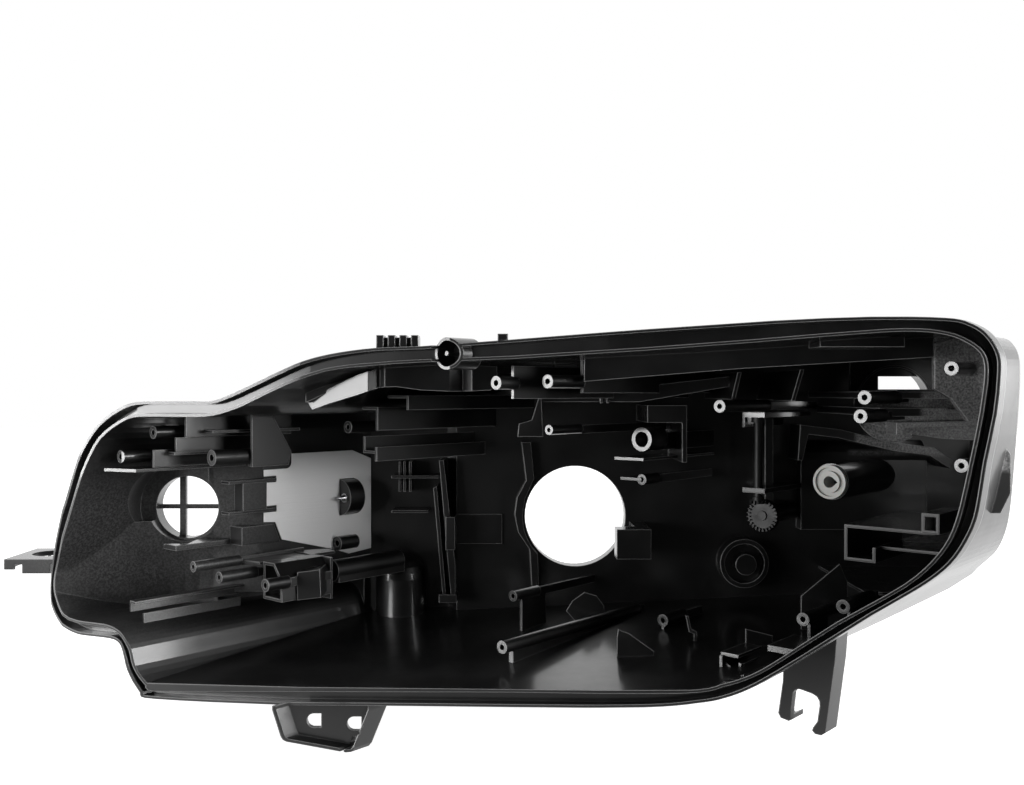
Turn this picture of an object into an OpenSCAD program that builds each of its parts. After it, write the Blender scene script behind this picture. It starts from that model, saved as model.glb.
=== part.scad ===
// Empty car headlamp housing, moulded in black plastic, seen from its open front.
// X is right, Y is rearward and Z is up. The origin is the middle of the large rear access hole.
// The mould draws along one line, turned draw_yaw from the Y axis. Most walls, ribs and bosses
// lie along that line, so they are written in draw coordinates: u across, w along it, Z up.

/* [Shell] */
// thickness of the moulded walls, mm
wall = 2.6; // [2.2:0.1:3.2]
// thickness of the two lips of the sealing channel, mm
lip = 2.0; // [1.6:0.1:2.4]
// depth of the sealing channel, mm
channel_d = 9; // [7:0.5:11]
// height of the rim at its right, mm
rim_top = 157; // [152:1:160]
// depth of the rim below the origin, mm
rim_low = 112; // [109:1:116]
// rise of the floor for each mm along the draw line
floor_rise = 0.071; // [0.06:0.001:0.08]

/* [Openings] */
// radius of the large access hole in the back wall, mm
access_r = 44; // [40:0.5:47]
// radius of the left access hole, mm
left_r = 25; // [22:0.5:27]
// radius of the access hole at the upper right, mm
right_r = 32; // [28:0.5:34]
// height of the collar round each access hole behind the wall, mm
collar_h = 12; // [8:0.5:16]

/* [Bosses and ribs] */
// outer diameter of a screw boss, mm
boss_od = 9.5; // [8.5:0.1:10.5]
// diameter of the pilot hole in a screw boss, mm
boss_bore = 4.2; // [3.5:0.1:5]
// depth of that pilot hole, mm
bore_depth = 16; // [12:1:20]
// thickness of the ribs, mm
rib = 2.2; // [1.8:0.1:2.6]

/* [Brackets] */
// thickness of the fixing brackets outside the shell, mm
tab_t = 4; // [3.5:0.1:5]
// diameter of the hole in the left fixing tab, mm
tab_hole = 30; // [26:1:32]
// width of the slot in the fixing fork, mm
fork_slot = 14; // [12:0.5:16]

/* [Adjusters] */
// outer diameter of the white bush, mm
bush_od = 24; // [22:0.5:26]
// diameter of the upright adjusting shaft, mm
shaft_od = 7; // [6:0.5:8]
// number of teeth on the bevel pinion
pinion_n = 12; // [12:1:12]
// number of teeth on the crown wheel
crown_n = 24; // [24:1:24]

/* [Hidden] */
$fn = 48;
draw_yaw = 41.5;
nominal_top = 157;
nominal_low = 112;
far = 900;
eps = 0.02;
clear = 0.3;
run = 0.06;
relief = 2;
stud_socket_d = 31;
socket_l = 16;

// [all, housing, heat_shield, adjuster_bush, ball_stud, aim_shaft, crown_screw]

// front surface of the rim in plan, left to right, upright everywhere
front = [[-418, -98], [-409, -110], [-394, -125], [-375, -137], [-335, -154],
         [-203, -182], [3, -216], [192, -240], [262, -246]];

// outer edge of the rim in draw coordinates (u, Z)
rim_outer = [[-236, -37], [-234, -54], [-216, -66], [-193, -71], [-163, -71], [-153, -76],
             [-148, -92], [-139, -108], [-128, -112], [-46, -110], [11, -107], [95, -103],
             [169, -99], [197, -95], [212, -91], [229, -82], [255, -62], [288, -35],
             [313, -16], [328, -1], [337, 16], [342, 33], [346, 64], [351, 95], [353, 121],
             [352, 134], [346, 146], [337, 153], [325, 156], [288, 157], [238, 155], [169, 150],
             [95, 144], [42, 140], [14, 139], [-13, 135], [-35, 128], [-65, 113], [-87, 103],
             [-102, 102], [-134, 102], [-150, 99], [-174, 85], [-193, 60], [-209, 26],
             [-225, -5]];

// inner edge of the rim, which is the mouth of the cavity
rim_inner = [[-227, -36], [-222, -49], [-204, -60], [-168, -61], [-153, -66], [-145, -77],
             [-142, -89], [-133, -102], [-122, -104], [-35, -98], [95, -91], [188, -87],
             [210, -82], [226, -75], [241, -64], [271, -39], [305, -14], [322, 6], [330, 25],
             [335, 50], [340, 80], [344, 110], [344, 130], [336, 140], [322, 146], [295, 147],
             [228, 141], [169, 136], [95, 131], [42, 129], [14, 127], [-16, 123], [-46, 111],
             [-69, 99], [-89, 92], [-109, 91], [-136, 91], [-150, 88], [-172, 74], [-187, 50],
             [-202, 18], [-217, -14]];

// cavity in plan, from the open front round by the right wall, the back and the left wall
cavity_plan = [[-620, -351], [150, -360], [286, -206], [346, 0], [-104, 0], [-112, 13], [-181, 13], [-256, -71],
               [-296, -71], [-307, -72], [-318, -74], [-329, -77], [-340, -81], [-351, -85.5], [-362, -90.5],
               [-373, -96], [-384, -102], [-394, -108], [-404, -115]];

function unit(v) = v / norm(v);
// moves every edge of a counter-clockwise polygon outward by g
function grow(p, g) = [for (i = [0:len(p) - 1])
    let (a = p[(i + len(p) - 1) % len(p)],
         b = p[i],
         c = p[(i + 1) % len(p)],
         m = unit([b[1] - a[1], a[0] - b[0]]),
         n = unit([c[1] - b[1], b[0] - c[0]]))
    b + g * (m + n) / (1 + m * n)];
// stretches the rim to the chosen height and depth
function tall(p) = [for (q = p)
    [q[0], q[1] > 0 ? q[1] * rim_top / nominal_top : q[1] * rim_low / nominal_low]];
function reversed(p) = [for (i = [len(p) - 1:-1:0]) p[i]];
function moved(p, d) = [for (q = p) q + d * [sin(draw_yaw), cos(draw_yaw)]];

// angle that a closed outline turns through at its point i
function turn(p, i) = let (n = len(p),
    a = unit(p[(i + n) % n] - p[(i + n - 1) % n]),
    b = unit(p[(i + 1) % n] - p[(i + n) % n]))
  acos(min(1, a * b));
// adds a point on a smooth curve beside every corner of a closed outline that turns by more than least degrees
function smooth(p, least) = let (n = len(p)) [for (i = [0:n - 1], half = [0, 1])
    if (half == 0 || max(turn(p, i), turn(p, i + 1)) > least)
    half == 0 ? p[i] : (9 * (p[i] + p[(i + 1) % n]) - p[(i + n - 1) % n] - p[(i + 2) % n]) / 16];

outer_edge = smooth(smooth(tall(rim_outer), 3), 4);
inner_edge = smooth(smooth(tall(rim_inner), 3), 4);

// frames
module draw_frame() {
  rotate([0, 0, -draw_yaw]) children();
}
module along(w0, w1) {
  draw_frame() rotate([90, 0, 0]) translate([0, 0, -w1]) linear_extrude(height = w1 - w0) children();
}
module across(u0, u1) {
  draw_frame() rotate([90, 0, 90]) translate([0, 0, u0]) linear_extrude(height = u1 - u0) children();
}
// box given by its ranges in draw coordinates
module dbox(u, w, z) {
  draw_frame() translate([u[0], w[0], z[0]]) cube([u[1] - u[0], w[1] - w[0], z[1] - z[0]]);
}
// box given by its ranges in X, Y and Z
module xbox(x, y, z) {
  translate([x[0], y[0], z[0]]) cube([x[1] - x[0], y[1] - y[0], z[1] - z[0]]);
}
// upright rib between two points in plan
module wall_rib(a, b, z, t = rib) {
  translate([a[0], a[1], z[0]]) rotate([0, 0, atan2(b[1] - a[1], b[0] - a[0])])
    translate([0, -t / 2, 0]) cube([norm(b - a), t, z[1] - z[0]]);
}
// round bar along the draw line from its front end
module bar(p, d, len) {
  draw_frame() translate([p[0], p[1], p[2]]) rotate([-90, 0, 0]) cylinder(h = len, d = d);
}
// front view outline at y0, carried along the draw line as far as y1
module swept(p, y0, y1) {
  intersection() {
    along(-far / 2, far / 2) polygon([for (q = p) [q[0] * cos(draw_yaw) - y0 * sin(draw_yaw), q[1]]]);
    translate([-far / 2, y0, -far / 2]) cube([far, y1 - y0, far]);
  }
}
// slab between the front surface moved a and b along the draw line
module band(a, b) {
  translate([0, 0, -far / 2]) linear_extrude(height = far)
    polygon(concat(moved(front, a), reversed(moved(front, b))));
}

// volume of the cavity, its walls moved outward by g
module cavity(g = 0) {
  intersection() {
    along(-far / 2, far / 2) polygon(grow(inner_edge, g));
    union() {
      translate([0, 0, -far / 2]) linear_extrude(height = far) polygon(grow(cavity_plan, g));
      dbox([-172 - g, -130], [-400, -118 + g], [-150, -52 + g]);
    }
    across(-far / 2, far / 2) polygon([[-far / 2, floor_z(-far / 2) - g], [far / 2, floor_z(far / 2) - g],
                                       [far / 2, far / 2], [-far / 2, far / 2]]);
  }
}
function floor_z(w) = -77.4 + floor_rise * w;

// screw bosses: u, w and Z of the mouth, diameter factor, length of the round part, length of its web
bosses = [[-147, -317, 79, 1, 27, 110], [-165, -333, 61, 1, 27, 120], [-117, -287, 60, 1.25, 41, 60],
          [-129, -295, -21, 0.85, 40, 100], [-115, -282, -29, 0.9, 32, 90], [-81, -265, -33, 1, 20, 60],
          [-82, -187, 81, 1, 30, 120], [-138, -153, -20.5, 1.25, 20, 18], [76, -186, 115, 1, 20, 100],
          [103, -163, 116, 1, 37, 100], [59, -108, 80, 0.8, 38, 170], [89, -28, 39, 0.9, 22, 120],
          [158, -26, 98, 1, 75, 170], [266, -18, 105, 1, 60, 80], [264, -20, 92, 1, 40, 80],
          [311, 21, 125, 1, 60, 90], [316, 26, 58, 1, 50, 100], [220, -16, -55, 1, 60, 80],
          [255, -28, -39, 1, 47, 60], [105, -22, -72, 1, 30, 58], [12, -96, -54, 0.9, 30, 120],
          [58, -160, -75, 1, 171, 180]];
blind = [89, -28, 71];
// bosses that stand on the floor on a short leg
floor_bosses = [17, 18, 20];
// foot of the short boss, through the bright sheet into the wall: from and to in w and in Z
foot_w = [-150, -135];
foot_z = [-22, -19];

module boss_solids() {
  for (b = bosses) {
    bar(b, boss_od * b[3], b[4]);
    dbox([b[0] - rib / 2, b[0] + rib / 2], [b[1] + b[4] / 2, b[1] + b[5]],
         [b[2] - boss_od * 0.4, b[2] + boss_od * 0.3]);
  }
  for (i = floor_bosses) let (b = bosses[i])
    dbox([b[0] - rib / 2, b[0] + rib / 2], [b[1] + 10, b[1] + 40], [-90, b[2]]);
  dbox([shield_u - 3, bosses[7][0]], foot_w, foot_z);
  bar(blind, 2 * boss_od, 24);
  dbox([blind[0] - rib, blind[0] + rib], [blind[1] + 12, 90], [blind[2] - boss_od, blind[2] + boss_od / 2]);
}
module boss_bores() {
  for (b = bosses) bar([b[0], b[1] - eps, b[2]], boss_bore * b[3], bore_depth);
  bar([blind[0], blind[1] - eps, blind[2]], 1.3 * boss_od, bore_depth);
}

module left_lobe() {
  // ledge plates under the roof, with the bosses on them
  dbox([-134, -134 + rib], [-299, -205], [75, 92]);
  dbox([-134, -120], [-284, -205], [78, 78 + rib]);
  dbox([-148, -148 + rib], [-317, -212], [53, 66]);
  dbox([-148, -136], [-306, -212], [62, 62 + rib]);
  dbox([-139, -139 + rib], [-304, -212], [62, 75]);
  dbox([-179, -150], [-339, -236], [50, 50 + rib]);
  // hanging plate under the roof, outline in w and Z
  across(-110, -110 + rib) polygon([[-258, 52], [-225, 52], [-222, 62], [-245, 100], [-245, 110], [-258, 110]]);
  dbox([-116, -110], [-256, -225], [52, 52 + rib]);
  // two flat ribs beside the hole and the box between them
  for (z = flat_ribs) dbox([-150, -139], [-258, -214], [z, z + rib]);
  dbox([-150, -138], [-246, -224], [15, 37]);
  // ledges below the hole
  dbox([-178, -160], [-291, -205], [-13, -9]);
  across(-161, -144) polygon([[-243, -13], [-207, -13], [-213, 1.5], [-243, 1.5]]);
  // gusset frame round the lower bosses
  along(-250, -205) difference() {
    polygon([[-105, -48], [-105, -20], [-91, -20], [-82, -31], [-81, -48]]);
    polygon([[-105 + rib, -48 + rib], [-105 + rib, -20 - rib], [-92, -20 - rib], [-82 - rib, -32], [-81 - rib, -48 + rib]]);
  }
  dbox([-130, -81], [-205, -205 + rib], [-52, -20]);
  face([[-217, -48], [-217, -27], [-200, -25], [-199, -46]], -125, -85);
  // long rib over the roll
  dbox([-164, -164 + rib], [-326, -225], [-54, -46]);
  dbox([-164, -156], [-326, -225], [-48, -46]);
  dbox([-160, -158], [-318, -235], [-68, -56]);
}

// shelf below the bright sheet, outline in plan, with room for the foot of the sheet
module pad_shelf() {
  difference() {
    translate([0, 0, -23]) linear_extrude(height = rib)
      polygon([[-268, -105], [-248, -114], [-200, -60], [-209, -50], [-262, -71]]);
    dbox([shield_u - 6, shield_u + shield_t + clear], [-210, 20], [-24, -20]);
  }
}

// turned solid with a rounded top
module dome(r, straight, h) {
  rotate_extrude($fn = 72) polygon(concat([[0, 0], [r, 0]],
    [for (a = [0:15:90]) [r * cos(a), straight + (h - straight) * sin(a)]]));
}

// half round boss that holds the left ball stud
module stud_socket() {
  bar([shield_u, stud_at[1], stud_at[2]], stud_socket_d, socket_l);
}

// rounded duct at the inner end of the roll
module duct() {
  bar([-106, -184, -36], 17.5, 72);
  dbox([-114, -98], [-183, -112], [-45, -36]);
  translate([-153, 6.3, -88]) dome(22.5, 34, 55);
}

// front view outline, pushed back from y0 to y1
module face(p, y0, y1) {
  translate([0, y1, 0]) rotate([90, 0, 0]) linear_extrude(height = y1 - y0) polygon(p);
}

// side view outline in Y and Z, carried from x0 to x1
module sideways(x0, x1) {
  rotate([90, 0, 90]) translate([0, 0, x0]) linear_extrude(height = x1 - x0) children();
}

module upper_ledges() {
  // bright band below the roof, and the wall behind it
  intersection() {
    face([[-206, 103], [-201, 96], [-186, 101], [-165, 107], [-150, 112], [-138, 112.5], [-120, 110], [-95, 109],
          [-71, 110], [-66, 114], [-66, 127], [-105, 129], [-130, 129], [-152, 125], [-166, 121]], -200, -140);
    translate([0, 0, 90]) linear_extrude(height = 45)
      polygon([[-207, -146], [-158, -166], [-150, -161], [-146, -166], [-100, -163], [-91, -155], [-84, -162],
               [-60, -158], [-60, -140], [-207, -140]]);
  }
  face([[-205, 101], [-166, 119], [-71, 122], [-71, 160], [-205, 160]], -153, -140);
  // shelves under it
  dbox([-54, -54 + rib], [-182, -40], [79, 97]);
  dbox([-70, -54], [-182, -40], [95, 97]);
  dbox([-68, -68 + rib], [-183, -60], [61, 74]);
  dbox([-68, -54], [-183, -60], [61, 63]);
  dbox([-54, -54 + rib], [-183, -60], [55, 66]);
  dbox([-29, -29 + rib], [-173, -20], [95, 106]);
  dbox([-54, -29], [-170, -20], [104, 106]);
  // plates by the upper bosses
  dbox([76, 76 + rib], [-170, 60], [104, 127]);
  dbox([103, 103 + rib], [-126, 60], [108, 136]);
  face([[-33, 114], [-31, 74], [-51, 74], [-50, 84], [-40, 87], [-35, 103]], -100, -60);
  face([[-33, 112], [45, 113], [116, 121], [116, 113], [45, 101], [-33, 101]], -90, -60);
  face([[-22, 122], [-5, 122], [-5, 131], [-22, 131]], -100, -60);
  face([[14, 100], [16, 100], [16, 114], [14, 114]], -92, -60);
  face([[19, 100], [21, 100], [21, 114], [19, 114]], -92, -60);
  // long flange under the roof
  face([[-5, 116], [104, 125], [239, 133], [239, 150], [-5, 150]], -180, -174);
  face([[152, 139], [209, 139], [209, 146], [152, 146]], -205, -175);
}

module centre_ribs() {
  // clip box and the upright double rib on the back wall
  for (x = [-154, -150, -145]) xbox([x, x + rib], [-6, 16], [22, 48]);
  xbox([-160, -118], [-10, 16], [34, 34 + rib]);
  xbox([-160, -128], [-10, 16], [4, 4 + rib]);
  face([[-123, 26], [-120, 28], [-112, -66], [-115, -66]], -18, 16);
  face([[-118, 50], [-114, 50], [-104, -40], [-104, -66], [-108, -66]], -18, 16);
  xbox([-118, -103], [-20, 16], [-72, -65]);
  xbox([-112, -104], [-24, 4], [-26, 2]);
  // rib left of the large hole
  face([[-47, 65], [-43, 32], [-51, 17], [-53, 2], [-50, -13], [-40, -28], [-37, -80], [-31, -80],
        [-33, -30], [-42, -15], [-46, 2], [-44, 16], [-36, 34], [-39, 65]], -8, 2);
  xbox([-104, -64], [-2, 2], [-24, 2]);
}

module right_ribs() {
  // pads round the large blind boss
  face([[54, 98], [86, 98], [86, 52], [82, 52], [82, 84], [54, 84]], -70, 2);
  dbox([64, 92], [-30, 80], [54, 54 + rib]);
  dbox([70, 90], [-30, 80], [38, 38 + rib]);
  // upright guide behind the adjusting shaft
  xbox([158, 165], [-34, 2], [10, 96]);
  // slanted ribs up to the roof
  face([[118, 124], [121, 124], [116, 103], [113, 103]], -110, 2);
  face([[166, 126], [169, 126], [162, 102], [159, 102]], -110, 2);
  // light plate inside the right wall
  face([[246, 143], [270, 150], [320, 150], [320, 88], [270, 88], [258, 104], [246, 111]], -165, -160);
  // ribs beside the right bosses
  face([[205, 109], [270, 109], [270, 104], [205, 104]], -150, 2);
  face([[212, 97], [262, 97], [262, 91], [212, 91]], -150, 2);
  // plates in front of the right access hole, with the window that stays open
  face([[231, 110], [231, 137], [345, 137], [345, 104], [297, 110], [296, 117], [287, 122], [255, 122], [255, 110]],
       -30, -30 + rib);
  face([[232, 111], [345, 111], [345, 68], [302, 70], [268, 75], [240, 83]], -48, -48 + rib);
  for (z = [102.5, 91.5]) face([[242, z], [345, z + 2], [345, z + 4.5], [242, z + 2.5]], -80, -47);
  face([[255, 84], [345, 86], [345, 83], [262, 80], [262, 74], [255, 74]], -70, -47);
  // bulge with a rounded top under the band
  sideways(194, 303) polygon([[2, 67], [-3, 66], [-8, 62.5], [-12, 57], [-14, 50], [-14, -10], [2, -10]]);
  // curved band over the right pocket
  face([[189, 81], [223, 77], [268, 66], [302, 62], [318, 51], [316, 44], [299, 55], [268, 59], [221, 70],
        [196, 73], [191, 51], [187, 51]], -30, 2);
  // lower right channel box
  dbox([235, 300], [21, 130], [9, 9 + rib]);
  dbox([235, 235 + rib], [21, 130], [-15, 9]);
  dbox([235, 257], [21, 130], [-15, -15 + rib]);
  dbox([256, 256 + rib], [21, 130], [-15, -4]);
  dbox([256, 310], [32, 130], [-6, -4]);
  difference() {
    dbox([294, 306], [12, 60], [11, 25]);
    dbox([294 + rib, 306 - rib], [11, 30], [11 + rib, 25 - rib]);
  }
  // ledges and gussets at the lower right
  translate([0, 0, -46]) linear_extrude(height = rib)
    polygon([[214, -112], [227, -116], [238, -112], [250, -116], [330, -60], [300, 2], [214, 2]]);
  xbox([225, 225 + rib], [-105, 0], [-64, -45]);
  face([[168, -49], [198, -24], [204, -38], [204, -85], [168, -85]], -105, -105 + rib);
  // clip beside the rim at the bottom
  dbox([186.5, 186.5 + rib], [-76, -40], [-95, -75]);
  dbox([186.5, 200], [-74, -40], [-75, -75 + rib]);
  along(-72, -40) polygon([[187, -79], [198, -85], [198, -87.5], [187, -81.5]]);
  dbox([197, 199], [-68, -40], [-95, -80]);
  dbox([196, 200], [-66, 25], [-88, -80]);
  // collar for the levelling motor
  translate([145, -16, -39]) rotate([-90, 0, 0]) difference() {
    cylinder(h = 20, d = 42);
    translate([0, 0, -eps]) cylinder(h = 8, d = 34);
  }
  translate([145, -22, -39]) rotate([-90, 0, 0]) cylinder(h = 24, d = 18);
}

module floor_ribs() {
  // low plates that stand on the floor
  face([[21, -70], [22, -64], [30, -67], [48, -80], [48, -86], [21, -86]], -150, -150 + rib);
  face([[-11, -70], [-6, -62], [4, -55], [14, -58], [20, -66], [20, -85], [2, -85]], -60, -60 + rib);
  face([[117, -66], [137, -71], [137, -84], [117, -84]], -140, -140 + rib);
  face([[76.3, -61], [78.5, -61], [80.8, -71], [85, -73], [85, -86], [82.5, -86], [82.5, -74.5], [78.8, -73]],
       -120, -116);
  // lug beside the large access hole
  xbox([31.4, 60], [-50, -31], [-29.6, -5]);
  xbox([48, 60], [-50, 2], [-29.6, -5]);
  dbox([104, 104 + rib], [-22, 36], [-90, -72]);
  dbox([56, 60], [-150, 60], [-90, -76]);
  dbox([215, 250], [-60, -20], [-70, -66]);
}

module bore_y(p, r, y0, y1) {
  translate([p[0], p[1] + y0, p[2]]) rotate([-90, 0, 0]) cylinder(h = y1 - y0, r = r, $fn = 72);
}
// collar and cap lip behind an access hole
module collar(p, r) {
  bore_y(p, r + wall + 1, 0, collar_h + wall);
  bore_y(p, r + wall + 4, collar_h - 2, collar_h + wall);
}
main_hole = [0, 0, 0];
left_hole = [-317, -71, 16];
right_hole = [279, 0, 99];
pocket_r = 38;

module shell() {
  intersection() {
    cavity(wall);
    band(0, far);
  }
  intersection() {
    along(-far / 2, far / 2) polygon(outer_edge);
    band(0, channel_d + wall);
  }
}
module seal_channel() {
  intersection() {
    along(-far / 2, far / 2) difference() {
      polygon(grow(outer_edge, -lip));
      polygon(grow(inner_edge, lip));
    }
    band(-far / 8, channel_d);
  }
}
// ring pocket in the side wall by the left hole, upper part only
module left_pocket(r, y1) {
  intersection() {
    bore_y(left_hole, r, -40, y1);
    xbox([-420, -300], [-140, -40], [6 - r + pocket_r, 70]);
  }
}
// stiffening ribs on the back of the housing
module back_ribs() {
  for (z = [-62, 62]) xbox([-90, 330], [0, wall + 6], [z, z + rib]);
  for (x = [-80, 70, 150, 230]) xbox([x, x + rib], [0, wall + 6], [-70, 110]);
  xbox([-340, -262], [-71, -71 + wall + 6], [-30, -30 + rib]);
}
module lower_bracket() {
  difference() {
    swept(bracket_edge, -188, -188 + tray_d + tab_t);
    swept(grow(bracket_edge, -lip), -189, -188 + tray_d);
    for (h = [[-193.5, -120.5], [-165.5, -122.7]]) translate([h[0], 0, h[1]]) {
      translate([0, -170, 0]) rotate([90, 0, 0]) cylinder(h = 20, d = 9.8);
      xbox([0, 5], [-190, -170], [-4.9, 4.9]);
    }
    swept([[-175.8, -150], [-175.8, -138], [-177.5, -136], [-175.5, -131.5], [-173.5, -131.5], [-171.5, -136],
           [-173.2, -138], [-173.2, -150]], -190, -170);
  }
}
module fork() {
  difference() {
    swept(fork_edge, fork_y, fork_y + 14);
    swept(grow(fork_edge, -lip), fork_y + tab_t, fork_y + 20);
    swept(fork_gap, fork_y - 1, fork_y + 20);
  }
}
// left fixing tab, with its large hole and the ribs under it
module left_tab() {
  difference() {
    union() {
      xbox([-448, -394], [-105, -50], [tab_z - tab_t, tab_z]);
      xbox([-434, -412], [-105, -102], [tab_z - 11, tab_z]);
      xbox([-434, -412], [-105, -92], [tab_z - 11, tab_z - 9]);
      xbox([-434, -431], [-105, -60], [tab_z - 11, tab_z]);
      xbox([-448, -446], [-105, -70], [tab_z - 8, tab_z]);
      xbox([-448, -440], [-105, -103], [tab_z - 8, tab_z]);
    }
    translate([tab_at[0], tab_at[1], tab_z - tab_t - eps]) cylinder(h = 2 * tab_t, d = tab_hole);
    translate([tab_at[0], tab_at[1], tab_z - tab_t - 20]) cylinder(h = 20, d = tab_hole + 2 * relief);
  }
}
module side_bracket() {
  face([[262, 74], [276, 79], [285, 66], [285, 40], [278, 26], [262, 26]], -196, -170);
}
// clip comb and tabs along the top of the rim
module top_clips() {
  for (i = [0:3]) xbox([-149 + 8 * i, -144 + 8 * i], [-188, -174], [134, 148]);
  xbox([-149, -120], [-176, -172], [134, 147]);
  xbox([-65, -58], [-205, -190], [138, 148]);
}

// rim of the lower bracket, the fork and its gap, as seen from the front
tray_d = 8;
bracket_edge = [[-221, -104], [-221, -110.4], [-215.1, -129], [-213.5, -131.4], [-211, -132.6], [-170, -140],
                [-166.4, -139.6], [-164.2, -137], [-153.7, -111], [-153.7, -104]];
fork_y = -190;
fork_edge = [[131.5, -70], [131, -90], [127.8, -112], [129.5, -115.4], [135, -117.6], [143, -114.5], [151, -117.4],
             [150.9, -124], [153, -126.5], [157.3, -127.6], [160.2, -126], [167, -75.6], [168.5, -55]];
fork_gap = [[135.8, -130], [135.8, -109.5], [137.1, -98.1], [138.5, -96.3], [141, -95.6], [144, -96.5], [150.6, -99],
            [153.6, -101], [155.2, -104], [155.4, -107], [153.8, -118], [150.8, -122], [148, -130]];
tab_at = [-424, -75];
tab_z = -20.5;
cup = [56, -214, 135];
cup_d = 22;
module housing() {
  color([0.05, 0.05, 0.055]) difference() {
    union() {
      difference() {
        union() {
          shell();
          collar(main_hole, access_r);
          collar(left_hole, left_r);
          bore_y(left_hole, left_r + relief + wall, -30, 0);
          collar(right_hole, right_r);
          left_pocket(pocket_r + wall, wall);
          back_ribs();
          left_tab();
          lower_bracket();
          fork();
          side_bracket();
          top_clips();
        }
        cavity(0);
        seal_channel();
        left_pocket(pocket_r, 0);
      }
      intersection() {
        union() {
          boss_solids();
          left_lobe();
          pad_shelf();
          stud_socket();
          duct();
          upper_ledges();
          centre_ribs();
          right_ribs();
          floor_ribs();
          adjuster_mounts();
        }
        cavity(wall / 2);
        band(channel_d, far);
      }
      intersection() {
        bar(cup, cup_d, 24);
        band(0, far);
      }
    }
    boss_bores();
    adjuster_bores();
    bar([cup[0], cup[1] - 20, cup[2]], cup_d - 2 * lip, 36);
    bore_y(main_hole, access_r, -wall, far / 8);
    bore_y(main_hole, access_r + relief, -30, 0);
    bore_y(left_hole, left_r, -wall, far / 8);
    bore_y(left_hole, left_r + relief, -30, 0);
    bore_y(right_hole, right_r, -wall, far / 8);
    bore_y(right_hole, right_r + relief, -25, 0);
  }
  // cross bars in the left collar, and the pin in the rim cup
  color([0.05, 0.05, 0.055]) {
    xbox([-325.5, -320.5], [-64, -60], [16 - left_r - 2, 16 + left_r + 2]);
    xbox([-317 - left_r - 2, -317 + left_r + 2], [-64, -60], [14, 17.5]);
    bar(cup, 3, 20);
  }
}

// white bush snapped into a moulded tube
bush_at = [201, 71, 37];
stud_at = [-136, -146, 18];
stud_od = 8;
// upright shaft with its pinion, and the crown wheel screw, in draw coordinates
gear_u = 144.7;
crown_w = 66;
crown_z = 6;
pinion_r = 6;
crown_r = pinion_r * crown_n / pinion_n;
tooth = 1.0;
tooth_up = 0.8;
tooth_down = 1.3;
face_w = 2.6;
shaft_w = crown_w - pinion_r;
shaft_z0 = crown_z + crown_r - face_w / 2;
shaft_top = 102;
// bright sheet and the ribs that pass through it
shield_u = -143.8;
shield_t = 0.8;
flat_ribs = [37, 13];
bearing_z = [26, 88];
screw_od = 8;

module adjuster_mounts() {
  bar([bush_at[0], bush_at[1] + 4, bush_at[2]], bush_od + 2 * wall, 150);
  bar([gear_u, crown_w + 8, crown_z], screw_od + 2 * wall + 2, 90);
  // bearing plates for the shaft
  for (z = bearing_z) dbox([gear_u - 10, gear_u + 10], [shaft_w - 8, 150], [z, z + 4]);
  dbox([gear_u - 10, gear_u - 10 + rib], [shaft_w - 8, 150], [80, 92]);
}
module adjuster_bores() {
  bar(bush_at, bush_od + 2 * run, 20 + clear);
  bar([stud_at[0], stud_at[1] - eps, stud_at[2]], stud_od + 2 * run, 10 + eps);
  bar([gear_u, crown_w, crown_z], screw_od + 2 * run, 40 + clear);
  draw_frame() translate([gear_u, shaft_w, bearing_z[0] - 2]) cylinder(h = 80, d = shaft_od + 2 * run);
}
// bright sheet on the left wall of the deep chamber, outline in w and Z, with slots for the two flat ribs
module heat_shield() {
  color([0.8, 0.8, 0.8]) difference() {
    across(shield_u, shield_u + shield_t) difference() {
      polygon(concat([[-223, 4], [-223, 46], [-201, 46]],
        [for (a = [75:-15:0]) [-201 + 5 * cos(a), 51 - 5 * sin(a)]],
        [[-196, 58], [-132, 58], [-111, 50], [-111, -29.8], [-136, -31.7], [-151, -26.4], [-206, -11.8],
         [-212, 3]]));
      for (z = flat_ribs) translate([-230, z - 1.5]) square([19, rib + 3]);
    }
    bar([shield_u, stud_at[1] - clear, stud_at[2]], stud_socket_d + 2 * clear, socket_l + 2 * clear);
    bar([bosses[7][0], bosses[7][1] - clear, bosses[7][2]], boss_od * bosses[7][3] + 2 * clear, 20 + 2 * clear);
    dbox([shield_u - 1, shield_u + shield_t + 1], [foot_w[0] - clear, foot_w[1] + clear],
         [foot_z[0] - clear, foot_z[1] + clear]);
  }
}
module adjuster_bush() {
  color([0.9, 0.9, 0.88]) difference() {
    union() {
      bar(bush_at, bush_od, 20);
      bar(bush_at, bush_od + 3, 4);
    }
    bar([bush_at[0], bush_at[1] - 1, bush_at[2]], bush_od / 2.6, 30);
    // point of the tear shaped mouth, and the groove round the hub
    draw_frame() translate([bush_at[0], bush_at[1] - 1, bush_at[2]]) rotate([-90, 0, 0])
      linear_extrude(height = 6) polygon([[2.6, -3.8], [7, 0], [2.6, 3.8]]);
    draw_frame() translate([bush_at[0], bush_at[1] - 1, bush_at[2]]) rotate([-90, 0, 0]) difference() {
      cylinder(h = 3.5, d = bush_od - 1);
      translate([0, 0, -1]) cylinder(h = 6, d = bush_od * 0.72);
    }
  }
}
module ball_stud() {
  color([0.7, 0.7, 0.7]) {
    bar([stud_at[0], stud_at[1] - 1, stud_at[2]], stud_od, 11);
    draw_frame() translate([stud_at[0], stud_at[1] - 1, stud_at[2]]) rotate([90, 0, 0])
      cylinder(h = 8, d1 = 6, d2 = 1);
  }
}
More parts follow.
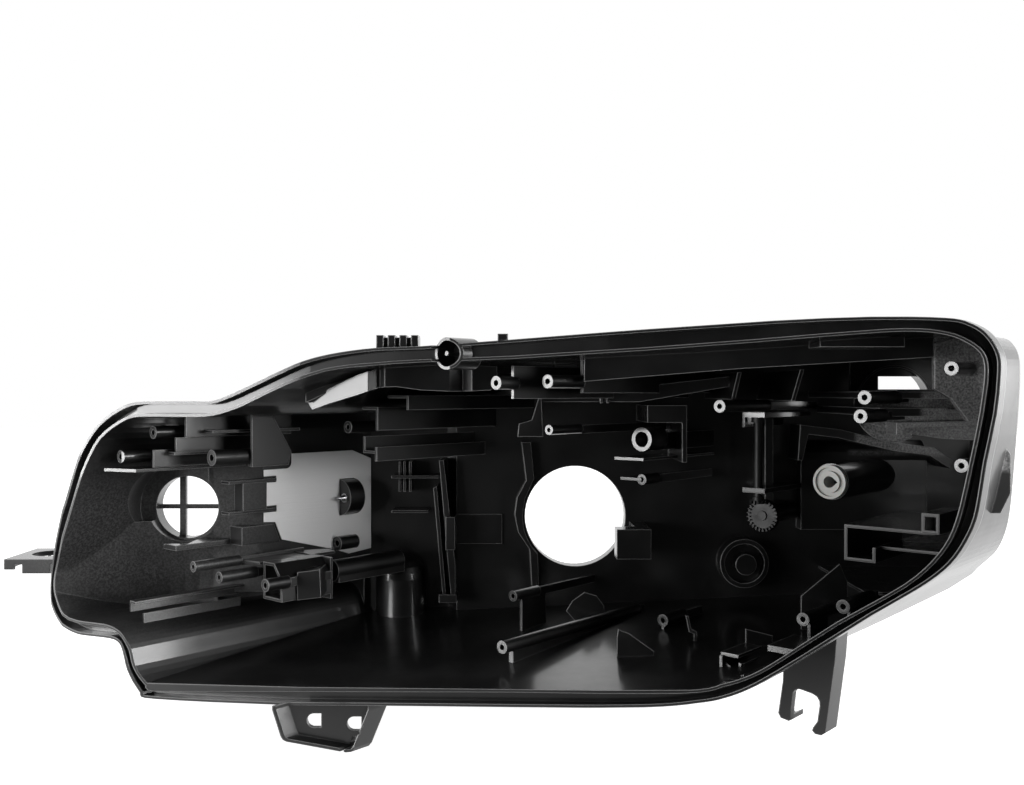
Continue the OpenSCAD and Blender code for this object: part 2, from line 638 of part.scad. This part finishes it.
module aim_shaft() {
  color([0.1, 0.1, 0.1]) draw_frame() translate([gear_u, shaft_w, 0]) {
    translate([0, 0, shaft_z0]) {
      cylinder(h = face_w + 3, r = pinion_r - tooth_down);
      for (i = [0:pinion_n - 1]) rotate([0, 0, 90 + i * 360 / pinion_n])
        translate([0, -tooth / 2, 0]) cube([pinion_r + tooth_up, tooth, face_w]);
    }
    translate([0, 0, shaft_z0 + face_w + 2]) cylinder(h = shaft_top - shaft_z0 - face_w - 2, d = shaft_od);
    translate([0, 0, bearing_z[1] + 4 + clear]) cylinder(h = 4, d = shaft_od + 4);
    translate([0, 0, bearing_z[1] - 4 - clear]) cylinder(h = 4, d = shaft_od + 4);
  }
}
module crown_screw() {
  color([0.1, 0.1, 0.1]) draw_frame() translate([gear_u, crown_w, crown_z]) rotate([-90, 0, 0]) {
    translate([0, 0, tooth_down]) cylinder(h = 5, r = crown_r + face_w / 2);
    for (i = [0:crown_n - 1]) rotate([0, 0, 90 + (i + 0.5) * 360 / crown_n])
      translate([crown_r - face_w / 2, -tooth / 2, -tooth_up]) cube([face_w, tooth, tooth_up + tooth_down + 1]);
    cylinder(h = 40, d = screw_od);
  }
}

housing();
heat_shield();
adjuster_bush();
ball_stud();
aim_shaft();
crown_screw();
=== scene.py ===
"""Moulded housing of a swept car headlamp, open at the front, on a plain pale studio floor."""

import math

import bpy
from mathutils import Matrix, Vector


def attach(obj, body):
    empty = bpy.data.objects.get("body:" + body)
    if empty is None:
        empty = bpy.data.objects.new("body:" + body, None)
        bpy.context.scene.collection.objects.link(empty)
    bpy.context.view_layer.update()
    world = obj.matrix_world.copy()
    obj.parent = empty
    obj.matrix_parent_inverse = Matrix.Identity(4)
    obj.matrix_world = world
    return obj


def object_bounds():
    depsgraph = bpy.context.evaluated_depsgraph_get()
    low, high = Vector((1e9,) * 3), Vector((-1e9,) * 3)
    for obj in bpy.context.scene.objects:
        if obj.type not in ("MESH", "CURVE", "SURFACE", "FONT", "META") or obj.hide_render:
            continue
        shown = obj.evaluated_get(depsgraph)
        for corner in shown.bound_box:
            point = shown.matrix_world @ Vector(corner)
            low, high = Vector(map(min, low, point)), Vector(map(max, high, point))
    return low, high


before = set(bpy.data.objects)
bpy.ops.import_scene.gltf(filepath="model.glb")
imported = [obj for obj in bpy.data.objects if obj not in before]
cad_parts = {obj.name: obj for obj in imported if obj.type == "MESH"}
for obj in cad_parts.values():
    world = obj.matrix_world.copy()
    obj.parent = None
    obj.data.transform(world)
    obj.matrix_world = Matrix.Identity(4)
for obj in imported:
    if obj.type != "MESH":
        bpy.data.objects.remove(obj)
CAD_BOX = [list(corner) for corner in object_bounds()]

bl_info = {
    "name": "Headlamp housing",
    "version": (1, 0, 0),
    "blender": (4, 5, 0),
    "location": "View3D > Sidebar > Housing",
    "description": "Finishes a moulded headlamp housing and sets it in a studio",
    "category": "Object",
}

# The camera: sensor and lens in millimetres, place in metres, looking straight along +Y.
SENSOR = 36.0
LENS = 35.26
CAMERA_PLACE = (-0.0553, -0.880, 0.1084)

# The mould is drawn along a line turned this many degrees from the Y axis.
DRAW_YAW = 41.5

# Walls with a coarse moulded grain, also painted paler as a sheen where light would catch them: the
# pad and the rails at the upper right, and the left lobe, each as lowest corner, highest corner,
# soft border in metres and strength.
GRAIN_AND_SHEEN_PATCHES = (
    ((0.243, -0.208, 0.055), (0.360, -0.140, 0.160), 0.002, 1.0),
    ((0.236, -0.140, 0.055), (0.360, -0.012, 0.107), 0.002, 0.8),
    ((-0.420, -0.200, -0.060), (-0.262, 0.060, 0.045), 0.025, 0.22),
)

# Where the patches end: faces turned back or up, by their normal, faces turned outwards, by their
# normal's X times their distance from the middle, and the roof, by its height. The grain fades
# from the first number to the second.
TURNED_BACK = (0.1, 0.3)
TURNED_UP = (0.3, 0.5)
TURNED_OUT = (0.08, 0.12)
ROOF_HEIGHT = (0.108, 0.112)

# Painted highlight on the proud edges, a pale colour where their rounding would catch the light: how
# far the rounded normal leaves the face's own, and how open the air round a point is, from no
# highlight to full highlight. The last is how far off a corner still counts, in metres.
EDGE_TURN = (0.94, 0.78)
OPEN_AIR = (0.72, 0.92)
CORNER_REACH = 0.004

# Sizes of the surface patterns, in repeats per metre, and depths of the bumps in metres.
CLOUDS = 26.0
COARSE_GRAIN = 600.0
WAVES, WAVE_DEPTH = 9.0, 0.0022
MOULD_TEXTURE = 1500.0
TEXTURE_DEPTH = 0.0002
BRUSH_LINES, LINE_DEPTH = 900.0, 0.0003
BRUSH_STRETCH = 0.03
SHEET_WAVES, SHEET_WAVE_DEPTH = 14.0, 0.002

# Edge radii of the small parts, in metres.
GEAR_EDGE = 0.0003
SHEET_EDGE = 0.0006

# Upper right hole and the web beside it: centre as X and Z, and front and back as Y.
RIM_CENTRE, RIM_DEPTHS = (0.2676, 0.0993), (-0.0330, -0.0298)
WEB_CENTRE, WEB_DEPTHS = (0.2608, 0.0995), (-0.0479, -0.0459)
# Directions from the centre in which each ring is kept.
RIM_SIDES = [(0, 0, 1)]
WEB_SIDES = [(-0.15, 0, -0.98), (-0.87, 0, -0.5)]
RING_SIDES = 96

# The studio: the mirrored surroundings go from dark in front of the housing to white behind it.
FRONT_GLOW = 0.02
FLOOR_FROM_FRONT = (-0.5, 0.0)
SKY_FROM_FRONT = (-0.35, 0.35)
SKY_FILL = 0.4
# The floor is a little grey round the housing and white further out, by distance in metres.
FLOOR_REACH = (0.5, 1.6)
FLOOR_WHITE = (0.86, 1.0)
FLOOR_SIZE = 12.0
FLOOR_GAP = 0.0005

# Lamps: name, place, aimed at, size and share of the lamp power.
LAMPS = (
    ("top_strip", (0.0, -0.45, 1.1), (0.0, -0.1, 0.0), (1.5, 0.2), 0.5),
    ("left_strip", (-1.2, -0.7, 0.08), (0.0, -0.2, 0.05), (1.1, 0.28), 1.45),
    ("right_panel", (1.3, -0.6, 0.35), (-0.2, 0.0, 0.0), (0.8, 0.7), 2.2),
    ("right_edge", (1.5, 0.15, 0.15), (0.35, -0.15, 0.03), (0.7, 0.5), 0.37),
)


def colour(name, description, value):
    """Colour property with its default."""
    return bpy.props.FloatVectorProperty(
        name=name, description=description, subtype="COLOR", size=3, default=value, min=0.0, max=1.0)


def length(name, description, value, longest):
    """Length property with its default, in metres."""
    return bpy.props.FloatProperty(
        name=name, description=description, subtype="DISTANCE", unit="LENGTH", default=value,
        min=0.0, max=longest)


class HousingFinish(bpy.types.PropertyGroup):
    """Colours and surface of the moulded plastics and the metal parts"""

    plastic: colour("Black plastic", "Colour of the moulded housing", (0.002, 0.002, 0.0022))
    haze: colour("Haze", "Colour of the paler clouds in the plastic", (0.005, 0.005, 0.005))
    # Partly grain, partly painted sheen: the coarse walls are painted paler where light would catch
    # them.
    grain_and_sheen: colour(
        "Sheen and grain patches", "Colour of the coarse walls, painted paler as a sheen",
        (0.24, 0.24, 0.24))
    # Painted highlight: a pale colour on the proud edges that stands in for the light their rounding
    # catches.
    edge_highlight: colour("Highlighted edges", "Colour of the rubbed edges", (0.28, 0.28, 0.28))
    edge_round: length("Edge rounding", "Radius of the moulded edges", 0.0015, 0.003)
    grain: bpy.props.FloatProperty(
        name="Grain", description="Depth of the fine texture left by the mould", default=0.10,
        min=0.0, max=1.0)
    aluminium: colour("Aluminium", "Colour of the bright sheet", (0.88, 0.88, 0.88))
    nylon: colour("White nylon", "Colour of the bush", (0.38, 0.38, 0.36))
    gears: colour("Gear plastic", "Colour of the shaft and the crown wheel", (0.004, 0.004, 0.0042))
    steel: colour("Steel", "Colour of the ball stud's plating", (0.62, 0.62, 0.64))


class HoleSurround(bpy.types.PropertyGroup):
    """Sizes of the half rim round the upper right hole and of the web beside it"""

    rim_radius: length("Rim radius", "Outer radius of the half rim", 0.0322, 0.05)
    rim_bore: length("Rim bore", "Inner radius of the half rim", 0.0303, 0.05)
    web_radius: length("Web radius", "Outer radius of the curved web", 0.0325, 0.05)
    web_bore: length("Web bore", "Inner radius of the curved web", 0.0190, 0.05)


class StudioSettings(bpy.types.PropertyGroup):
    """Floor, backdrop and lamps"""

    paper: colour("Paper", "Colour of the floor and backdrop", (0.86, 0.86, 0.86))
    lamp_power: bpy.props.FloatProperty(
        name="Lamp power", description="Power that the share of each lamp is taken from",
        subtype="POWER", unit="POWER", default=9.0, min=0.0, max=200.0)


def new_material(name):
    """New material with its node tree and its main shader."""
    material = bpy.data.materials.new(name)
    material.use_nodes = True
    tree = material.node_tree
    return material, tree, tree.nodes["Principled BSDF"]


def add(tree, kind, **values):
    """Adds a node and sets its properties or, by their names, its inputs."""
    node = tree.nodes.new(kind)
    for key, value in values.items():
        if hasattr(node, key):
            setattr(node, key, value)
        else:
            node.inputs[key.replace("_", " ")].default_value = value
    return node


def parts_of(tree, vector):
    """X, Y and Z outputs of a vector."""
    node = tree.nodes.new("ShaderNodeSeparateXYZ")
    tree.links.new(vector, node.inputs["Vector"])
    return node.outputs


def object_point(tree):
    """Place on the piece, in its own metres."""
    return tree.nodes.new("ShaderNodeTexCoord").outputs["Object"]


def face_normal(tree):
    """Normal of the face itself, before any bump."""
    return tree.nodes.new("ShaderNodeNewGeometry").outputs["True Normal"]


def noise(tree, point, scale, detail=3.0, roughness=0.5):
    """Cloudy pattern from 0 to 1."""
    node = add(tree, "ShaderNodeTexNoise", Scale=scale, Detail=detail, Roughness=roughness)
    tree.links.new(point, node.inputs["Vector"])
    return node.outputs["Fac"]


def ramp(tree, value, start, end, at_start=0.0, at_end=1.0):
    """Turns a value between start and end into one between two others, and holds it outside."""
    node = add(tree, "ShaderNodeMapRange")
    node.inputs["From Min"].default_value = start
    node.inputs["From Max"].default_value = end
    node.inputs["To Min"].default_value = at_start
    node.inputs["To Max"].default_value = at_end
    tree.links.new(value, node.inputs["Value"])
    return node.outputs["Result"]


def maths(tree, operation, a, b):
    """Joins two values, each a number or a socket."""
    node = add(tree, "ShaderNodeMath", operation=operation)
    for socket, value in zip(node.inputs, (a, b)):
        if isinstance(value, (int, float)):
            socket.default_value = value
        else:
            tree.links.new(value, socket)
    return node.outputs["Value"]


def blend(tree, amount, first, second):
    """Mixes two colours by an amount."""
    node = add(tree, "ShaderNodeMix", data_type="RGBA")
    factor, a, b = [socket for socket in node.inputs if socket.enabled]
    tree.links.new(amount, factor)
    for socket, shade in ((a, first), (b, second)):
        if isinstance(shade, tuple):
            socket.default_value = shade
        else:
            tree.links.new(shade, socket)
    return next(socket for socket in node.outputs if socket.enabled)


def rounded_edges_and_highlight(tree, radius):
    """Normal rounded at the edges, and how much each point lies on a proud edge, where a highlight
    is painted.
    """
    rounded = add(tree, "ShaderNodeBevel", samples=8, Radius=radius)
    turn = add(tree, "ShaderNodeVectorMath", operation="DOT_PRODUCT")
    tree.links.new(rounded.outputs["Normal"], turn.inputs[0])
    tree.links.new(face_normal(tree), turn.inputs[1])
    proud = ramp(tree, turn.outputs["Value"], *EDGE_TURN)
    corner = add(tree, "ShaderNodeAmbientOcclusion", samples=4, Distance=CORNER_REACH)
    open_air = ramp(tree, corner.outputs["AO"], *OPEN_AIR)
    return rounded.outputs["Normal"], maths(tree, "MULTIPLY", proud, open_air)


def within(tree, point, low, high, soft):
    """How far inside a box of object coordinates a point lies, 0 to 1 over a soft border."""
    place = parts_of(tree, point)
    inside = 1.0
    for axis, start, end in zip("XYZ", low, high):
        past_start = ramp(tree, place[axis], start - soft, start + soft)
        before_end = ramp(tree, place[axis], end + soft, end - soft)
        for part in (past_start, before_end):
            inside = maths(tree, "MULTIPLY", part, inside)
    return inside


def inside_of_shell(tree, point):
    """Leaves out faces that look backwards, and the outer sides of the walls and the roof."""
    facing = parts_of(tree, face_normal(tree))
    place = parts_of(tree, point)
    forward = ramp(tree, facing["Y"], *TURNED_BACK, 1.0, 0.0)
    outward = maths(tree, "MULTIPLY", facing["X"], place["X"])
    inward = ramp(tree, outward, *TURNED_OUT, 1.0, 0.0)
    roof = maths(tree, "MULTIPLY", ramp(tree, facing["Z"], *TURNED_UP),
                 ramp(tree, place["Z"], *ROOF_HEIGHT))
    kept = maths(tree, "MULTIPLY", forward, inward)
    return maths(tree, "MULTIPLY", kept, maths(tree, "SUBTRACT", 1.0, roof))


def bumps(tree, shader, layers, start=None):
    """Chains bump nodes, each a height, its strength and its depth in metres."""
    last = start
    for height, strength, depth in layers:
        node = add(tree, "ShaderNodeBump", Strength=strength, Distance=depth)
        tree.links.new(height, node.inputs["Height"])
        if last is not None:
            tree.links.new(last, node.inputs["Normal"])
        last = node.outputs["Normal"]
    tree.links.new(last, shader.inputs["Normal"])


def rounded_normal(tree, radius):
    """Normal rounded at the edges."""
    return add(tree, "ShaderNodeBevel", samples=6, Radius=radius).outputs["Normal"]


def finish_node(name, material):
    """Gives a CAD piece its one material."""
    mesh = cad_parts[name].data
    mesh.materials.clear()
    mesh.materials.append(material)


def moulded_black(settings):
    """Glossy black plastic with clouds, coarse patches painted paler as a sheen, and a pale painted
    highlight on the edges.
    """
    material, tree, shader = new_material("moulded black plastic")
    point = object_point(tree)
    normal, edges = rounded_edges_and_highlight(tree, settings.edge_round)
    cloud = noise(tree, point, CLOUDS, 4.0, 0.6)
    hazed = blend(tree, ramp(tree, cloud, 0.4, 0.8),
                  (*settings.plastic, 1.0), (*settings.haze, 1.0))
    grains = ramp(tree, noise(tree, point, COARSE_GRAIN, 3.0, 0.7), 0.40, 0.64, 0.25, 1.0)
    grain_and_sheen_mask = 0.0
    for low, high, soft, strength in GRAIN_AND_SHEEN_PATCHES:
        patch = maths(tree, "MULTIPLY", within(tree, point, low, high, soft), strength)
        grain_and_sheen_mask = maths(tree, "MAXIMUM", patch, grain_and_sheen_mask)
    grain_and_sheen_mask = maths(tree, "MULTIPLY", grain_and_sheen_mask, inside_of_shell(tree, point))
    # Painted sheen with a speckled grain: the coarse walls get a paler colour where light would
    # catch them.
    grain_and_sheen = blend(tree, maths(tree, "MULTIPLY", grain_and_sheen_mask, grains),
                    hazed, (*settings.grain_and_sheen, 1.0))
    # Painted highlight: the proud edges get a pale colour where their rounding would catch the
    # light.
    highlighted = blend(tree, edges, grain_and_sheen, (*settings.edge_highlight, 1.0))
    tree.links.new(highlighted, shader.inputs["Base Color"])
    shader.inputs["IOR"].default_value = 1.57
    tree.links.new(ramp(tree, cloud, 0.3, 0.75, 0.36, 0.52), shader.inputs["Roughness"])
    shader.inputs["Coat Weight"].default_value = 0.9
    shader.inputs["Coat Roughness"].default_value = 0.14
    bumps(tree, shader, [
        (noise(tree, point, WAVES, 2.0), 0.35, WAVE_DEPTH),
        (noise(tree, point, MOULD_TEXTURE, 2.0), settings.grain, TEXTURE_DEPTH),
    ], normal)
    return material


def white_nylon(settings):
    """Slightly waxy nylon of the bush."""
    material, tree, shader = new_material("white nylon")
    point = object_point(tree)
    shader.inputs["Base Color"].default_value = (*settings.nylon, 1.0)
    shader.inputs["Subsurface Weight"].default_value = 0.15
    shader.inputs["Subsurface Scale"].default_value = 0.002
    cloud = noise(tree, point, 60.0)
    tree.links.new(ramp(tree, cloud, 0.3, 0.7, 0.35, 0.5), shader.inputs["Roughness"])
    bumps(tree, shader, [(noise(tree, point, 900.0), 0.15, TEXTURE_DEPTH)])
    return material


def dark_plastic(settings):
    """Dull dark plastic of the gears."""
    material, tree, shader = new_material("dark gear plastic")
    point = object_point(tree)
    shader.inputs["Base Color"].default_value = (*settings.gears, 1.0)
    cloud = noise(tree, point, 90.0)
    tree.links.new(ramp(tree, cloud, 0.3, 0.7, 0.42, 0.56), shader.inputs["Roughness"])
    bumps(tree, shader, [(noise(tree, point, 1100.0), 0.15, TEXTURE_DEPTH)],
          rounded_normal(tree, GEAR_EDGE))
    return material


def brushed_aluminium(settings):
    """Sheet brushed along the mould's draw line, with a soft waviness."""
    material, tree, shader = new_material("brushed aluminium sheet")
    point = object_point(tree)
    shader.inputs["Base Color"].default_value = (*settings.aluminium, 1.0)
    shader.inputs["Metallic"].default_value = 0.55
    lie = add(tree, "ShaderNodeMapping")
    lie.inputs["Rotation"].default_value = (0.0, 0.0, math.radians(DRAW_YAW))
    tree.links.new(point, lie.inputs["Vector"])
    brush = add(tree, "ShaderNodeMapping")
    brush.inputs["Scale"].default_value = (1.0, BRUSH_STRETCH, 1.0)
    tree.links.new(lie.outputs["Vector"], brush.inputs["Vector"])
    lines = noise(tree, brush.outputs["Vector"], BRUSH_LINES, 4.0, 0.7)
    tree.links.new(ramp(tree, lines, 0.35, 0.65, 0.42, 0.60), shader.inputs["Roughness"])
    bumps(tree, shader, [
        (noise(tree, point, SHEET_WAVES, 2.0), 0.3, SHEET_WAVE_DEPTH),
        (lines, 0.5, LINE_DEPTH),
    ], rounded_normal(tree, SHEET_EDGE))
    return material


def plated_steel(settings):
    """Bright plating of the ball stud."""
    material, tree, shader = new_material("plated steel")
    point = object_point(tree)
    shader.inputs["Base Color"].default_value = (*settings.steel, 1.0)
    shader.inputs["Metallic"].default_value = 1.0
    cloud = noise(tree, point, 400.0)
    tree.links.new(ramp(tree, cloud, 0.3, 0.7, 0.18, 0.34), shader.inputs["Roughness"])
    bumps(tree, shader, [(noise(tree, point, 1600.0), 0.1, 0.0001)])
    return material


def paper(settings):
    """White floor that keeps a faint shadow, and is mirrored dark in front and white behind."""
    material, tree, shader = new_material("studio paper")
    point = object_point(tree)
    shader.inputs["Base Color"].default_value = (*settings.paper, 1.0)
    shader.inputs["Roughness"].default_value = 0.9
    shader.inputs["Specular IOR Level"].default_value = 0.1
    path = tree.nodes.new("ShaderNodeLightPath")
    reach = add(tree, "ShaderNodeVectorMath", operation="LENGTH")
    tree.links.new(point, reach.inputs[0])
    white = ramp(tree, reach.outputs["Value"], *FLOOR_REACH, *FLOOR_WHITE)
    seen = maths(tree, "MAXIMUM", path.outputs["Is Camera Ray"], path.outputs["Is Transmission Ray"])
    shader.inputs["Emission Color"].default_value = (1.0, 1.0, 1.0, 1.0)
    tree.links.new(maths(tree, "MULTIPLY", seen, white), shader.inputs["Emission Strength"])
    mirrored = tree.nodes.new("ShaderNodeEmission")
    glow = ramp(tree, parts_of(tree, point)["Y"], *FLOOR_FROM_FRONT, FRONT_GLOW, 1.0)
    tree.links.new(glow, mirrored.inputs["Strength"])
    mix = tree.nodes.new("ShaderNodeMixShader")
    tree.links.new(path.outputs["Is Glossy Ray"], mix.inputs["Fac"])
    tree.links.new(shader.outputs["BSDF"], mix.inputs[1])
    tree.links.new(mirrored.outputs["Emission"], mix.inputs[2])
    tree.links.new(mix.outputs["Shader"], tree.nodes["Material Output"].inputs["Surface"])
    return material


def studio_world():
    """World that is white behind the housing, dark in front of it in mirrors, and a soft fill."""
    world = bpy.data.worlds.new("studio")
    bpy.context.scene.world = world
    world.use_nodes = True
    tree = world.node_tree
    background = tree.nodes["Background"]
    background.inputs["Color"].default_value = (1.0, 1.0, 1.0, 1.0)
    path = tree.nodes.new("ShaderNodeLightPath")
    heading = parts_of(tree, tree.nodes.new("ShaderNodeTexCoord").outputs["Generated"])
    behind = ramp(tree, heading["Y"], *SKY_FROM_FRONT, FRONT_GLOW, 1.0)
    glossy = maths(tree, "MULTIPLY", path.outputs["Is Glossy Ray"], behind)
    seen = maths(tree, "MAXIMUM", path.outputs["Is Camera Ray"], path.outputs["Is Transmission Ray"])
    fill = maths(tree, "MULTIPLY", path.outputs["Is Diffuse Ray"], SKY_FILL)
    strength = maths(tree, "MAXIMUM", maths(tree, "MAXIMUM", seen, glossy), fill)
    tree.links.new(strength, background.inputs["Strength"])


def area_lamp(name, place, target, size, power):
    """Soft rectangular lamp aimed at a point, which the camera doesn't see."""
    data = bpy.data.lights.new(name, "AREA")
    data.shape = "RECTANGLE"
    data.size, data.size_y = size
    data.energy = power
    lamp = bpy.data.objects.new(name, data)
    bpy.context.collection.objects.link(lamp)
    lamp.location = place
    aim = Vector(target) - Vector(place)
    lamp.rotation_euler = aim.to_track_quat("-Z", "Y").to_euler()
    lamp.visible_camera = False


def disc(radius, thickness, middle):
    """Flat cylinder across the Y axis."""
    bpy.ops.object.select_all(action="DESELECT")
    bpy.ops.mesh.primitive_cylinder_add(
        vertices=RING_SIDES, radius=radius, depth=thickness, location=middle,
        rotation=(math.radians(90), 0, 0))
    return bpy.context.object


def ring_sector(name, centre, depths, bore, radius, kept_sides):
    """Flat ring across the Y axis, kept on the given side of each plane through its centre."""
    middle = (centre[0], sum(depths) / 2, centre[1])
    thickness = depths[1] - depths[0]
    core = disc(bore, 3 * thickness, middle)
    ring = disc(radius, thickness, middle)
    ring.name = name
    hole = ring.modifiers.new("hole", "BOOLEAN")
    hole.operation = "DIFFERENCE"
    hole.object = core
    bpy.ops.object.modifier_apply(modifier="hole")
    bpy.data.objects.remove(core)
    bpy.ops.object.transform_apply(location=True, rotation=True, scale=True)
    bpy.ops.object.mode_set(mode="EDIT")
    for side in kept_sides:
        bpy.ops.mesh.select_all(action="SELECT")
        bpy.ops.mesh.bisect(plane_co=middle, plane_no=side, use_fill=True, clear_inner=True)
    bpy.ops.mesh.select_all(action="SELECT")
    bpy.ops.mesh.normals_make_consistent(inside=False)
    bpy.ops.object.mode_set(mode="OBJECT")
    return ring


class HOUSING_OT_finish(bpy.types.Operator):
    """Gives the moulded housing its black satin plastic"""

    bl_idname = "housing.finish"
    bl_label = "Finish the housing"

    def execute(self, context):
        finish_node("housing", moulded_black(context.scene.housing_finish))
        return {"FINISHED"}


class HOUSING_OT_hole_surround(bpy.types.Operator):
    """Adds the moulded rim round the upper right hole and the web under its rails"""

    bl_idname = "housing.hole_surround"
    bl_label = "Add the hole surround"

    def execute(self, context):
        sizes = context.scene.hole_surround
        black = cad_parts["housing"].data.materials[0]
        rim = ring_sector(
            "hole_rim", RIM_CENTRE, RIM_DEPTHS, sizes.rim_bore, sizes.rim_radius, RIM_SIDES)
        web = ring_sector(
            "hole_web", WEB_CENTRE, WEB_DEPTHS, sizes.web_bore, sizes.web_radius, WEB_SIDES)
        for piece in (rim, web):
            piece.data.materials.append(black)
            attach(piece, "housing")
        return {"FINISHED"}


class HOUSING_OT_adjusters(bpy.types.Operator):
    """Gives the sheet, the bush, the ball stud, the shaft and the crown screw their finishes"""

    bl_idname = "housing.adjusters"
    bl_label = "Finish the adjusters"

    def execute(self, context):
        settings = context.scene.housing_finish
        finish_node("heat_shield", brushed_aluminium(settings))
        finish_node("adjuster_bush", white_nylon(settings))
        finish_node("ball_stud", plated_steel(settings))
        dark = dark_plastic(settings)
        finish_node("aim_shaft", dark)
        finish_node("crown_screw", dark)
        return {"FINISHED"}


class HOUSING_OT_stage(bpy.types.Operator):
    """Adds the floor, the lamps, the world and the camera"""

    bl_idname = "housing.stage"
    bl_label = "Set the studio"

    def execute(self, context):
        settings = context.scene.studio_settings
        floor_height = CAD_BOX[0][2] - FLOOR_GAP
        bpy.ops.object.select_all(action="DESELECT")
        bpy.ops.mesh.primitive_grid_add(
            x_subdivisions=8, y_subdivisions=8, size=FLOOR_SIZE, location=(0, 0, floor_height))
        bpy.ops.object.transform_apply(location=True, rotation=False, scale=False)
        floor = context.object
        floor.name = "studio_floor"
        floor.data.materials.append(paper(settings))
        studio_world()
        for name, place, target, size, share in LAMPS:
            area_lamp(name, place, target, size, settings.lamp_power * share)
        camera_data = bpy.data.cameras.new("camera")
        camera_data.sensor_width = SENSOR
        camera_data.lens = LENS
        camera = bpy.data.objects.new("camera", camera_data)
        context.collection.objects.link(camera)
        camera.location = CAMERA_PLACE
        camera.rotation_euler = (math.radians(90), 0, 0)
        context.scene.camera = camera
        context.scene.view_settings.view_transform = "Standard"
        return {"FINISHED"}


class HOUSING_PT_panel(bpy.types.Panel):
    """Lists the sizes, the colours and the steps that dress the housing"""

    bl_idname = "HOUSING_PT_panel"
    bl_label = "Housing"
    bl_space_type = "VIEW_3D"
    bl_region_type = "UI"
    bl_category = "Housing"

    def draw(self, context):
        layout = self.layout
        for group in GROUPS:
            settings = getattr(context.scene, group)
            for name in settings.__annotations__:
                layout.prop(settings, name)
        for step in STEPS:
            layout.operator(step.bl_idname)


STEPS = (HOUSING_OT_finish, HOUSING_OT_hole_surround, HOUSING_OT_adjusters, HOUSING_OT_stage)
GROUPS = {
    "housing_finish": HousingFinish,
    "hole_surround": HoleSurround,
    "studio_settings": StudioSettings,
}
CLASSES = (*GROUPS.values(), *STEPS, HOUSING_PT_panel)


def register():
    """Registers the classes and hangs the settings on the scene."""
    for item in CLASSES:
        bpy.utils.register_class(item)
    for name, group in GROUPS.items():
        setattr(bpy.types.Scene, name, bpy.props.PointerProperty(type=group))


def unregister():
    """Takes the settings and the classes away again."""
    for name in GROUPS:
        delattr(bpy.types.Scene, name)
    for item in reversed(CLASSES):
        bpy.utils.unregister_class(item)


def main():
    """Registers the classes, dresses the housing and sets the stage."""
    register()
    bpy.ops.housing.finish()
    bpy.ops.housing.hole_surround()
    bpy.ops.housing.adjusters()
    bpy.ops.housing.stage()


if __name__ == "__main__":
    main()
